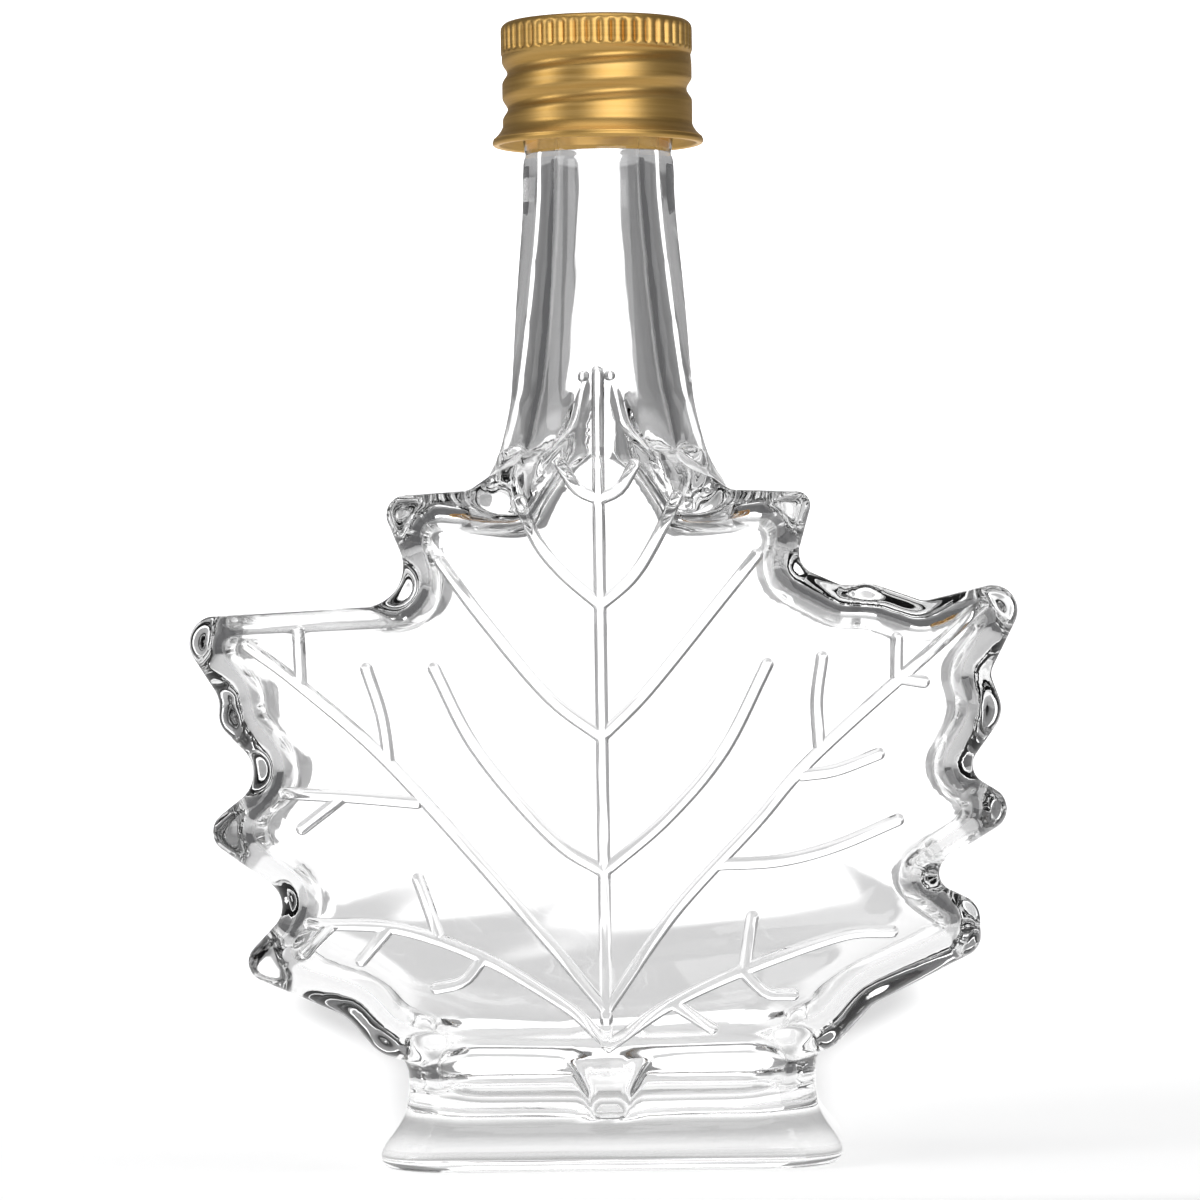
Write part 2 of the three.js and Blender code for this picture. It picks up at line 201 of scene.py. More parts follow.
def applied(piece, name):
    """A new object that holds the piece as its modifiers show it."""
    view = bpy.context.evaluated_depsgraph_get()
    view.update()
    data = bpy.data.meshes.new_from_object(piece.evaluated_get(view))
    result = bpy.data.objects.new(name, data)
    bpy.context.scene.collection.objects.link(result)
    return result


def report(piece):
    """Prints how many faces a piece has, and how many of its edges are open."""
    mesh = bmesh.new()
    mesh.from_mesh(piece.data)
    open_edges = sum(1 for edge in mesh.edges if not edge.is_manifold)
    print(piece.name, len(mesh.faces), "faces,", open_edges, "open edges")
    mesh.free()

# %% [markdown]
# ## The leaf's outline
# The outline is a list of corners, each with the radius that rounds it. Moving every corner
# the same distance along its bisector gives the edge of the flat face. Its rim is then wide
# along the straight stretches and narrow at the tips, as the moulded glass is.

# %% Name the corners of the leaf
LEAF = [
    (-9.0, 83.0, 2),
    (-15.3, 78.8, 3),
    (-26.0, 78.2, 2.3),
    (-21.0, 65.8, 4.6),
    (-50.6, 64.5, 3.3),
    (-44.6, 55.0, 4.4),
    (-45.0, 52.1, 5),
    (-39.1, 46.0, 3.8),
    (-47.4, 39.5, 2.5),
    (-36.2, 31.3, 3.2),
    (-43.5, 23.6, 2.3),
    (-30.5, 17.9, 5),
    (-26.9, 13.6, 4.4),
    (-18.0, 10.9, 3),
    (18.0, 10.9, 3),
    (26.1, 13.7, 3.5),
    (30.6, 18.5, 3.6),
    (43.2, 24.8, 2.4),
    (43.1, 30.0, 2.9),
    (36.3, 33.3, 2.6),
    (48.7, 40.9, 2.7),
    (41.6, 45.4, 2.2),
    (46.4, 52.0, 3.6),
    (44.7, 56.6, 2.0),
    (50.6, 68.2, 3.0),
    (37.2, 65.1, 2.5),
    (30.5, 67.5, 3.1),
    (28.1, 66.9, 5),
    (22.4, 69.5, 2.5),
    (24.8, 78.0, 1.7),
    (14.9, 78.4, 3),
    (9.0, 83.0, 2),
]
LOBE = [
    (10.0, 70.0, 1),
    (9.3, 77.7, 0.8),
    (6.4, 82.2, 3),
    (3.2, 86.0, 3),
    (1.5, 94.6, 1),
    (-1.5, 94.6, 1),
    (-3.2, 86.0, 3),
    (-6.4, 82.2, 3),
    (-9.3, 77.7, 0.8),
    (-10.0, 70.0, 1),
]
STEM = [
    (-14.0, 16.5, 1),
    (-5.2, 13.4, 7),
    (-2.7, 8.8, 4),
    (-1.7, 5.9, 0.7),
    (1.7, 5.9, 0.7),
    (2.7, 8.8, 4),
    (5.2, 13.4, 7),
    (14.0, 16.5, 1),
]
print(len(LEAF), "corners round the leaf")

# %% Define the outline tools
def neighbours(corners, index):
    """The directions from a corner back to the last one and on to the next, and their lengths."""
    here = Vector(corners[index][:2])
    before = Vector(corners[index - 1][:2]) - here
    after = Vector(corners[(index + 1) % len(corners)][:2]) - here
    return here, before.normalized(), after.normalized(), min(before.length, after.length)


def moved(corners, distance, mitre=False, gain=0.0):
    """Moves every corner along its bisector into the material, and widens its radius by gain."""
    result = []
    for index, corner in enumerate(corners):
        here, before, after, _ = neighbours(corners, index)
        across = before - after
        inward = Vector((across.y, -across.x)).normalized()
        half_sine = math.sqrt((1 - max(-1.0, min(1.0, before.dot(after)))) / 2)
        reach = distance / max(half_sine, 0.3) if mitre else distance
        here = here + inward * reach
        result.append((here.x, here.y, corner[2] + gain * distance))
    return result


def rounded(corners, arc_steps, edge_steps):
    """An outline whose corners are arcs. Matching corner lists give matching points."""
    points = []
    for index, corner in enumerate(corners):
        here, before, after, room = neighbours(corners, index)
        half = math.acos(max(-1.0, min(1.0, before.dot(after)))) / 2
        reach = min(corner[2] / math.tan(half), 0.49 * room)
        start = here + before * reach
        end = here + after * reach
        centre = here + (before + after).normalized() * (reach / math.cos(half))
        spoke = start - centre
        other = end - centre
        sweep = math.atan2(spoke.x * other.y - spoke.y * other.x, spoke.dot(other))
        for step in range(arc_steps[index] + 1):
            angle = sweep * step / arc_steps[index]
            turned = Vector((
                spoke.x * math.cos(angle) - spoke.y * math.sin(angle),
                spoke.x * math.sin(angle) + spoke.y * math.cos(angle),
            ))
            points.append(centre + turned)
        following, next_before, next_after, next_room = neighbours(corners, (index + 1) % len(corners))
        next_half = math.acos(max(-1.0, min(1.0, next_before.dot(next_after)))) / 2
        next_radius = corners[(index + 1) % len(corners)][2]
        next_start = following + next_before * min(next_radius / math.tan(next_half), 0.49 * next_room)
        for step in range(1, edge_steps[index]):
            points.append(end.lerp(next_start, step / edge_steps[index]))
    return points


def arc_steps_of(corners, degrees):
    """One arc step for about every so many degrees that the outline turns at a corner."""
    steps = []
    for index in range(len(corners)):
        _, before, after, _ = neighbours(corners, index)
        turn = math.pi - math.acos(max(-1.0, min(1.0, before.dot(after))))
        steps.append(max(2, round(math.degrees(turn) / degrees)))
    return steps


def edge_steps_of(corners, length):
    """One step for about every so many millimetres of straight edge after each corner."""
    steps = []
    for index in range(len(corners)):
        gap = Vector(corners[(index + 1) % len(corners)][:2]) - Vector(corners[index][:2])
        steps.append(max(1, round(0.4 * gap.length / length)))
    return steps


def slab(name, corners, depth, rim, rim_rings, degrees, length, gain, level_at=None):
    """A slab with the outline of the corners, from front to back, with round rims."""
    arcs = arc_steps_of(corners, degrees)
    edges = edge_steps_of(corners, length)
    half = []
    for k in range(rim_rings + 1):
        angle = (k / rim_rings) * math.pi / 2
        outline = rounded(moved(corners, rim * (1 - math.sin(angle)), gain=gain), arcs, edges)
        half.append((outline, depth - rim * (1 - math.cos(angle))))
    wall_steps = 5
    side = depth - rim
    for k in range(1, wall_steps):
        half.append((half[rim_rings][0], side * (1 - k / wall_steps)))
    scale = level_at or (lambda point: 1.0)
    front = [[(p.x, -level * scale(p), p.y) for p in outline] for outline, level in half]
    back = [[(p.x, level * scale(p), p.y) for p in outline] for outline, level in reversed(half)]
    middle = [[(p.x, 0.0, p.y) for p in half[rim_rings][0]]]
    mesh = bmesh.new()
    skin(mesh, front + middle + back)
    return finished(mesh, name)

# %% [markdown]
# ## The outside of the glass
# The leaf is a slab with round rims. The neck is spun, and opens out like a trumpet where it
# meets the shoulders. The foot is a stack of rounded rectangles.

# %% Make the leaf slab
leaf = slab("leaf", LEAF, HALF_DEPTH, RIM, 9, 7, 0.9, 0.5)
report(leaf)

# %% Make the neck
def vectors(pairs):
    return [Vector(pair) for pair in pairs]


NECK_SIDE = vectors([
    (15.0, 76.0),
    (14.6, 79.2),
    (13.4, 81.0),
    (12.2, 83.6),
    (11.0, 88.5),
    (10.6, 92.0),
    (9.97, 101.0),
    (9.1, 111.0),
    (8.95, 115.5),
    (8.9, 118.0),
])
FINISH = [(8.6, 118.15), (8.45, 118.4), (8.6, 118.65), (9.0, 118.85), (9.2, 119.3)]
lip_radius = 0.9
lip = [
    (9.2 - lip_radius + lip_radius * math.cos(a), NECK_TOP - lip_radius + lip_radius * math.sin(a))
    for a in (k * math.pi / 12 for k in range(7))
]
neck_profile = [(0, 74), (15.0, 74)]
neck_profile += [tuple(point) for point in eased(NECK_SIDE, 5)]
neck_profile += FINISH + lip + [(0, NECK_TOP)]
mesh = bmesh.new()
spun(mesh, neck_profile, 96)
neck = finished(mesh, "neck")
report(neck)

# %% Make the foot
def foot_ring(half_width, half_depth, corner, level, steps=10):
    """A rounded rectangle at one height."""
    corners = [
        (-half_width, -half_depth, corner),
        (half_width, -half_depth, corner),
        (half_width, half_depth, corner),
        (-half_width, half_depth, corner),
    ]
    outline = rounded(corners, [steps] * 4, [16, 8, 16, 8])
    return [(point.x, point.y, level) for point in outline]


FOOT_SIDE = vectors([
    (BASE_HALF_WIDTH - 1.5, 0.0),
    (BASE_HALF_WIDTH - 0.6, 0.35),
    (BASE_HALF_WIDTH - 0.1, 1.1),
    (BASE_HALF_WIDTH, 1.9),
    (BASE_HALF_WIDTH - 0.5, 3.0),
    (BASE_HALF_WIDTH - 1.5, 4.3),
    (BASE_HALF_WIDTH - 2.4, 5.8),
    (WAIST_HALF_WIDTH, 7.4),
    (WAIST_HALF_WIDTH - 0.2, 10.0),
    (WAIST_HALF_WIDTH, 13.0),
    (WAIST_HALF_WIDTH, 17.0),
])


def foot_half_depth(half_width):
    """The foot flares more in depth than in width, so each width has its own depth."""
    part = (half_width - WAIST_HALF_WIDTH) / (BASE_HALF_WIDTH - WAIST_HALF_WIDTH)
    return WAIST_HALF_DEPTH + part * (BASE_HALF_DEPTH - WAIST_HALF_DEPTH)


foot_rings = [
    foot_ring(min(point.x, BASE_HALF_WIDTH), foot_half_depth(min(point.x, BASE_HALF_WIDTH)), 7, max(0.0, point.y))
    for point in eased(FOOT_SIDE, 3)
]
mesh = bmesh.new()
skin(mesh, foot_rings)
foot = finished(mesh, "foot")
report(foot)

# %% [markdown]
# ## The middle lobe, the knobs and the stem
# The leaf's middle lobe stands proud of the neck and leans back along it. A round knob sits
# on each side of it, and the leaf's stem runs down over the foot to a cut end.

# %% Make the relief pieces
def lobe_level(height):
    """How far the lobe's face stands from the middle of the bottle at a height."""
    return HALF_DEPTH - 4.8 * smoothstep(height, 79, 94.6)


def stem_level(height):
    """The stem comes out of the leaf's lower rim and stands a little further out at its end."""
    return 15.3 - 1.6 * smoothstep(height, 9, 16.5)


def relief(name, corners, chamfer, inner_level, level_at, sign=-1, steps=5):
    """A raised form on the front (sign -1) or back (sign 1) with a soft edge round its face."""
    arcs = arc_steps_of(corners, 12)
    edges = edge_steps_of(corners, 0.8)
    outline = rounded(corners, arcs, edges)
    rings = [[(p.x, sign * inner_level, p.y) for p in outline]]
    for k in range(steps + 1):
        angle = (k / steps) * math.pi / 2
        points = rounded(moved(corners, chamfer * (1 - math.cos(angle))), arcs, edges)
        drop = chamfer * (1 - math.sin(angle))
        rings.append([(p.x, sign * (level_at(p.y) - drop), p.y) for p in points])
    mesh = bmesh.new()
    skin(mesh, rings)
    return finished(mesh, name)


def bead(name, place, radius, segments):
    """A small round bump."""
    mesh = bmesh.new()
    bmesh.ops.create_uvsphere(mesh, u_segments=segments, v_segments=segments // 2, radius=radius * MM)
    bmesh.ops.translate(mesh, verts=mesh.verts, vec=Vector(place) * MM)
    return finished(mesh, name)


lobe_front = relief("lobe_front", LOBE, 0.9, 3, lobe_level)
lobe_back = relief("lobe_back", LOBE, 0.9, 3, lobe_level, sign=1)
stem = relief("stem", STEM, 1.6, 8, stem_level, steps=8)
knobs = [bead("knob_left", (-9.9, -7.4, 81.4), 2.6, 32), bead("knob_right", (9.9, -7.4, 81.4), 2.6, 32)]
for piece in (lobe_front, lobe_back, stem, *knobs):
    report(piece)

# %% [markdown]
# ## Join the outside
# One Boolean union joins the forms. Where two of them meet, the seam is a sharp valley, which
# moulded glass never has. Smoothing only the points near such valleys rounds them.

# %% Join and soften
def on_a_face(vert):
    """Whether a point lies on the flat front or back face, which has to stay flat."""
    return abs(vert.co.y) / MM > lobe_level(vert.co.z / MM) - 0.04


def soften_valleys(piece, reach, rounds, limit=math.radians(-24)):
    """Smooths the mesh within reach (mm) of its sharp valleys."""
    mesh = bmesh.new()
    mesh.from_mesh(piece.data)
    bmesh.ops.triangulate(mesh, faces=[face for face in mesh.faces if len(face.verts) > 4])
    bmesh.ops.remove_doubles(mesh, verts=mesh.verts, dist=0.02 * MM)
    near = set()
    for edge in mesh.edges:
        if edge.is_manifold and edge.calc_face_angle_signed() < limit:
            near.update(edge.verts)
    centres = [vert.co.copy() for vert in near]
    grown = set(near)
    front = set(near)
    for _ in range(4):
        front = {edge.other_vert(vert) for vert in front for edge in vert.link_edges
                 if edge.calc_length() < reach * MM} - grown
        grown |= front
    grown = {vert for vert in grown if not on_a_face(vert)}
    for _ in range(rounds):
        bmesh.ops.smooth_vert(
            mesh, verts=list(grown), factor=0.5,
            use_axis_x=True, use_axis_y=True, use_axis_z=True,
        )
    print("softened", len(grown), "points near", len(centres), "valley points")
    mesh.to_mesh(piece.data)
    mesh.free()


outside = joined("outside", [leaf, neck, foot, lobe_front, lobe_back, stem, *knobs])
soften_valleys(outside, 1.6, 6)
report(outside)

# %% [markdown]
# ## The veins
# Each vein is a raised bead along a smooth line on the front face. It is skinned from dome
# shaped sections that shrink to a round end. The beads run into one another, and a second
# union joins them to the glass.

# %% Name the veins
VEINS = [
    [(-0.1, 78), (-0.2, 14.6)],
    [(-0.1, 92.0), (-0.1, 87), (-0.1, 82), (-0.1, 77)],
    [(0, 77.4), (-2.6, 78.7), (-4.4, 81.6)],
    [(0, 77.4), (2.4, 78.6), (4.0, 81.3)],
    [(-0.1, 65.2), (-4.5, 69.1), (-7.3, 72.7), (-9.2, 77.4)],
    [(-0.1, 65.2), (3.6, 68.3), (6.2, 72.2), (8.9, 77.6)],
    [(-0.2, 50.0), (-6.4, 54.9), (-13.6, 63.7), (-18.5, 70.5)],
    [(-0.2, 50.0), (5.3, 55.4), (14.2, 66.1), (18.0, 70.7)],
    [(-0.2, 34.5), (-6.1, 38.5), (-14.6, 48.7), (-19.4, 58.2)],
    [(-0.2, 34.5), (7.2, 40.6), (13.8, 48.2), (19.0, 58.1)],
    [(-0.2, 18.6), (-8.7, 28.9), (-24.3, 46.9), (-34.8, 56.5), (-40.9, 61.2)],
    [(-34.8, 56.5), (-35.0, 62.6)],
    [(-24.8, 47.6), (-25.5, 52.8), (-27.2, 58.3)],
    [(-21.6, 42.8), (-29.6, 43.6), (-36.9, 44.1)],
    [(-30.4, 43.4), (-34.9, 40.0)],
    [(-0.2, 14.9), (-5.1, 19.3), (-14.3, 24.8), (-24.0, 28.3), (-34.3, 29.0)],
    [(-19.4, 27.5), (-21.6, 34.0)],
    [(-25.2, 28.2), (-28.3, 24.7)],
    [(-31.7, 28.8), (-34.9, 25.6)],
    [(-14.4, 24.6), (-16.5, 22.2), (-19.7, 21.4)],
    [(-0.2, 18.6), (8.0, 29.9), (17.6, 40.1), (24.8, 48.0), (43.8, 64.5)],
    [(24.8, 48.7), (24.6, 53.9), (25.3, 58.8)],
    [(22.8, 45.3), (26.6, 45.8), (31.6, 47.6)],
    [(13.0, 35.2), (20.0, 35.5), (26.5, 37.1), (33.7, 40.0)],
    [(33.8, 56.5), (33.9, 60.8)],
    [(34.0, 56.3), (36.9, 55.8)],
    [(0.1, 14.5), (7.3, 19.2), (15.8, 23.0), (26.9, 26.8), (32.8, 27.2)],
    [(15.8, 23.3), (16.8, 29.1)],
    [(15.4, 23.0), (18.2, 20.4), (21.3, 20.1)],
    [(7.4, 19.3), (11.9, 16.4)],
]


def evenly(points, gap):
    """Points about one gap apart along a smooth curve through the given points."""
    fine = eased(vectors(points), 24)
    run = [0.0]
    for a, b in zip(fine, fine[1:]):
        run.append(run[-1] + (b - a).length)
    count = max(3, round(run[-1] / gap))
    result = []
    index = 0
    for step in range(count + 1):
        want = run[-1] * step / count
        while index < len(fine) - 2 and run[index + 1] < want:
            index += 1
        part = (want - run[index]) / max(run[index + 1] - run[index], 1e-9)
        result.append(fine[index].lerp(fine[index + 1], part))
    return result


def vein(name, points):
    """One bead along a line on the face, with round ends."""
    line = evenly(points, 0.9)
    half = VEIN_WIDTH / 2
    start_way = (line[0] - line[1]).normalized()
    end_way = (line[-1] - line[-2]).normalized()
    end_steps = 5
    stations = []
    for k in range(end_steps):
        angle = (0.12 + 0.88 * k / end_steps) * math.pi / 2
        stations.append((line[0] + start_way * half * math.cos(angle), math.sin(angle)))
    stations += [(point, 1.0) for point in line]
    for k in reversed(range(end_steps)):
        angle = (0.12 + 0.88 * k / end_steps) * math.pi / 2
        stations.append((line[-1] + end_way * half * math.cos(angle), math.sin(angle)))
    rings = []
    dome_steps = 8
    for index, (point, size) in enumerate(stations):
        before = stations[max(0, index - 1)][0]
        after = stations[min(len(stations) - 1, index + 1)][0]
        along = (after - before).normalized()
        across = Vector((-along.y, along.x))
        ring = []
        for k in range(dome_steps + 1):
            angle = math.pi * k / dome_steps
            side = point + across * half * size * math.cos(angle)
            rise = VEIN_HEIGHT * size * math.sin(angle) ** 0.8
            ring.append((side.x, -(lobe_level(side.y) + rise), side.y))
        for sign in (-1, 1):
            side = point + across * half * size * sign * 0.9
            ring.append((side.x, -(lobe_level(side.y) - 0.5), side.y))
        rings.append(ring)
    mesh = bmesh.new()
    skin(mesh, rings)
    return finished(mesh, name)

# %% Add the veins
veins = [vein(f"vein_{index}", points) for index, points in enumerate(VEINS)]
for index, (x, z) in enumerate([(-1.7, 91.7), (-0.2, 92.4), (1.2, 91.7)]):
    veins.append(bead(f"bud_{index}", (x, -lobe_level(z) + 0.45, z), 0.8, 20))
outside = joined("outside_veined", [outside, *veins])
report(outside)

# %% [markdown]
# ## The hollow
# Blown glass is smooth inside. Its hollow follows only the main corners of the leaf, grows
# shallower towards the foot and the neck, and is remeshed and smoothed so that every turn in
# it is soft. Taking it away from the outside leaves the glass.

# %% Make the hollow
def hollow_depth(point):
    """How much of its full depth the hollow has at a point of the leaf."""
    edge = 23 + 9 * (point.x / 36) ** 2
    return 1 - 0.24 * (1 - smoothstep(point.y, 10, edge))


INNER_RIM = 2.8
inner_corners = moved(LEAF, WALL, gain=0.3)[1:-1]
leaf_hollow = slab("leaf_hollow", inner_corners, HALF_DEPTH - WALL, INNER_RIM, 6, 12, 1.6, 0.3, hollow_depth)

LOBE_HOLLOW = [
    (9.2, 68.0, 1),
    (8.4, 76.6, 3),
    (4.2, 82.5, 4),
    (1.9, 91.0, 1),
    (-1.9, 91.0, 1),
    (-4.2, 82.5, 4),
    (-8.4, 76.6, 3),
    (-9.2, 68.0, 1),
]
lobe_hollow = slab(
    "lobe_hollow", LOBE_HOLLOW, HALF_DEPTH - WALL, 1.6, 4, 12, 1.2, 0.2,
    lambda point: (lobe_level(point.y) - WALL) / (HALF_DEPTH - WALL),
)

BORE_SIDE = vectors([
    (11.0, 74.0),
    (10.2, 78.5),
    (8.9, 83.0),
    (7.8, 88.5),
    (6.8, 94.5),
    (5.6, 106.0),
    (5.0, 116.0),
    (4.9, 126.0),
    (4.9, NECK_TOP + 4),
])
mesh = bmesh.new()
spun(mesh, [(0, 70), (10.8, 70)] + [tuple(p) for p in eased(BORE_SIDE, 4)] + [(0, NECK_TOP + 4)], 48)
bore = finished(mesh, "bore")

well_rings = []
for k in range(6):
    angle = k / 5 * math.pi / 2
    shrink = WALL + 0.4 + 2.4 * (1 - math.sin(angle))
    level = FLOOR_HEIGHT + 2.4 * (1 - math.cos(angle))
    well_rings.append(foot_ring(WAIST_HALF_WIDTH - shrink, WAIST_HALF_DEPTH - shrink, 4.5, level, 6))
well_rings.append(foot_ring(WAIST_HALF_WIDTH - WALL - 0.4, WAIST_HALF_DEPTH - WALL - 0.4, 4.5, 18, 6))
mesh = bmesh.new()
skin(mesh, well_rings)
well = finished(mesh, "well")

mesh = bmesh.new()
for piece in (leaf_hollow, lobe_hollow, bore, well):
    mesh.from_mesh(piece.data)
    bpy.data.objects.remove(piece, do_unlink=True)
hollow = finished(mesh, "hollow")
remesh = hollow.modifiers.new("even", "REMESH")
remesh.mode = "VOXEL"
remesh.voxel_size = 0.7 * MM
soft = hollow.modifiers.new("soft", "SMOOTH")
soft.factor = 0.5
soft.iterations = 10
smooth_hollow = applied(hollow, "smooth_hollow")
bpy.data.objects.remove(hollow, do_unlink=True)
report(smooth_hollow)

# %% Take the hollow out of the glass
cut = outside.modifiers.new("hollow", "BOOLEAN")
cut.operation = "DIFFERENCE"
cut.object = smooth_hollow
cut.solver = "MANIFOLD"
bottle = applied(outside, "glass_bottle")
bpy.data.objects.remove(outside, do_unlink=True)
bpy.data.objects.remove(smooth_hollow, do_unlink=True)
for polygon in bottle.data.polygons:
    polygon.use_smooth = True
bottle.data.set_sharp_from_angle(angle=math.radians(38))
report(bottle)

# %% [markdown]
# ## The cap
# The cap is spun in one piece, outside and inside. Its points are then moved towards the axis
# to press in the flutes round the head and the groove that winds down the skirt.

# %% Define the cap's relief
FLUTES = 48
FLUTE_DEPTH = 0.34
FLUTE_LOW = 130.35
FLUTE_HIGH = 133.2
GROOVE_START = 130.5 - 0.35
GROOVE_PITCH = 4.25
GROOVE_TURNS = 1.75
GROOVE_DEPTH = 0.62
GROOVE_HALF_WIDTH = 1.4


def flute_depth(angle, height):
    """How far a flute presses in at an angle and height."""
    window = smoothstep(height, FLUTE_LOW - 0.1, FLUTE_LOW + 0.35)
    window *= 1 - smoothstep(height, FLUTE_HIGH - 0.3, FLUTE_HIGH + 0.3)
    wave = (1 - abs(math.cos(FLUTES * angle / 2))) ** 1.4
    return FLUTE_DEPTH * window * wave


def groove_depth(angle, height):
    """How far the winding groove presses in at an angle and height."""
    part = (-angle / (2 * math.pi)) % 1
    turns = part + round((GROOVE_START - height) / GROOVE_PITCH - part)
    away = (height - (GROOVE_START - GROOVE_PITCH * turns)) / GROOVE_HALF_WIDTH
    fade = smoothstep(turns, -0.05, 0.12) * (1 - smoothstep(turns, GROOVE_TURNS - 0.25, GROOVE_TURNS))
    if abs(away) >= 1:
        return 0.0
    return GROOVE_DEPTH * fade * (1 + math.cos(math.pi * away)) / 2

# %% Make the cap
SKIRT_RADIUS = CAP_RADIUS - 0.1
curl = 0.45
curl_centre = (CURL_RADIUS - curl, CAP_BOTTOM + curl)
cap_profile = [(0, CAP_TOP - 0.9), (CAP_RADIUS - 2.2, CAP_TOP - 0.9), (CAP_RADIUS - 1.5, CAP_TOP - 1.6)]
cap_profile += [(CAP_RADIUS - 1.3, CAP_BOTTOM + 2.4), (CAP_RADIUS - 0.9, CAP_BOTTOM + 1.6)]
cap_profile += [(CURL_RADIUS - 1.0, CAP_BOTTOM + 0.8)]
for k in range(9):
    angle = math.pi * (1.1 + k / 8 * 1.15)
    cap_profile.append((curl_centre[0] + curl * math.cos(angle), curl_centre[1] + curl * math.sin(angle)))
flare = vectors([
    (CURL_RADIUS - 0.1, CAP_BOTTOM + 0.85),
    (CURL_RADIUS - 0.55, CAP_BOTTOM + 1.25),
    (SKIRT_RADIUS + 0.3, CAP_BOTTOM + 1.75),
    (SKIRT_RADIUS + 0.02, CAP_BOTTOM + 2.3),
    (SKIRT_RADIUS, CAP_BOTTOM + 2.8),
])
cap_profile += [tuple(point) for point in eased(flare, 3)]
height = CAP_BOTTOM + 3.0
while height < FLUTE_LOW - 0.35:
    cap_profile.append((SKIRT_RADIUS, height))
    height += 0.2
cap_profile += [(SKIRT_RADIUS, FLUTE_LOW - 0.3), (CAP_RADIUS - 0.04, FLUTE_LOW - 0.12)]
for k in range(15):
    cap_profile.append((CAP_RADIUS, FLUTE_LOW + (CAP_TOP - 1.0 - FLUTE_LOW) * k / 14))
for k in range(1, 10):
    angle = k / 9 * math.pi / 2
    cap_profile.append((CAP_RADIUS - 1.0 + math.cos(angle), CAP_TOP - 1.0 + math.sin(angle)))
cap_profile += [(8.0, CAP_TOP), (4.0, CAP_TOP), (0, CAP_TOP)]

mesh = bmesh.new()
spun(mesh, cap_profile, FLUTES * 8)
for vert in mesh.verts:
    radius = math.hypot(vert.co.x, vert.co.y) / MM
    level = vert.co.z / MM
    if radius > SKIRT_RADIUS - 1.1 and level > CAP_BOTTOM + 2.6:
        angle = math.atan2(vert.co.y, vert.co.x)
        press = flute_depth(angle, level)
        if radius > SKIRT_RADIUS - 0.2:
            press += groove_depth(angle, level) * (1 - smoothstep(level, FLUTE_LOW - 0.35, FLUTE_LOW + 0.3))
        scale = 1 - press / radius
        vert.co.x *= scale
        vert.co.y *= scale
cap = finished(mesh, "gold_cap")
cap.data.set_sharp_from_angle(angle=math.radians(60))
report(cap)

# %% [markdown]
# ## The glass
# Clear glass is one Principled shader with full transmission. A very faint, broad bump gives
# the surface the slight waves of moulded glass, which make the highlights along the rim wander.

# %% Make the glass material
def new_material(name):
    material = bpy.data.materials.new(name)
    material.use_nodes = True
    nodes = material.node_tree.nodes
    return material, nodes, material.node_tree.links, nodes["Principled BSDF"]


glass, nodes, links, shader = new_material("clear_glass")
shader.inputs["Base Color"].default_value = (1, 1, 1, 1)
shader.inputs["IOR"].default_value = 1.5
shader.inputs["Transmission Weight"].default_value = 1
shader.inputs["Metallic"].default_value = 0
coordinates = nodes.new("ShaderNodeTexCoord")
waves = nodes.new("ShaderNodeTexNoise")
waves.inputs["Scale"].default_value = 90
waves.inputs["Detail"].default_value = 1
waves.inputs["Roughness"].default_value = 0.4
links.new(coordinates.outputs["Object"], waves.inputs["Vector"])
flatten = nodes.new("ShaderNodeMapping")
flatten.inputs["Scale"].default_value = (30, 30, 700)
links.new(coordinates.outputs["Object"], flatten.inputs["Vector"])
streaks = nodes.new("ShaderNodeTexNoise")
streaks.inputs["Scale"].default_value = 1
streaks.inputs["Detail"].default_value = 2
links.new(flatten.outputs["Vector"], streaks.inputs["Vector"])
place = nodes.new("ShaderNodeSeparateXYZ")
links.new(coordinates.outputs["Object"], place.inputs["Vector"])
low_part = nodes.new("ShaderNodeMapRange")
low_part.interpolation_type = "SMOOTHSTEP"
low_part.inputs["From Min"].default_value = 0.009
low_part.inputs["From Max"].default_value = 0.006
low_part.inputs["To Max"].default_value = 2.6
links.new(place.outputs["Z"], low_part.inputs["Value"])
relief_height = nodes.new("ShaderNodeMath")
relief_height.operation = "MULTIPLY_ADD"
links.new(streaks.outputs["Fac"], relief_height.inputs[0])
links.new(low_part.outputs["Result"], relief_height.inputs[1])
links.new(waves.outputs["Fac"], relief_height.inputs[2])
bump = nodes.new("ShaderNodeBump")
bump.inputs["Strength"].default_value = 0.35
bump.inputs["Distance"].default_value = 0.00012
links.new(relief_height.outputs[0], bump.inputs["Height"])
links.new(bump.outputs["Normal"], shader.inputs["Normal"])
haze = nodes.new("ShaderNodeTexNoise")
haze.inputs["Scale"].default_value = 240
haze.inputs["Detail"].default_value = 3
links.new(coordinates.outputs["Object"], haze.inputs["Vector"])
haze_range = nodes.new("ShaderNodeMapRange")
haze_range.inputs["To Min"].default_value = 0.0
haze_range.inputs["To Max"].default_value = 0.03
links.new(haze.outputs["Fac"], haze_range.inputs["Value"])
links.new(haze_range.outputs["Result"], shader.inputs["Roughness"])
print("glass material ready")
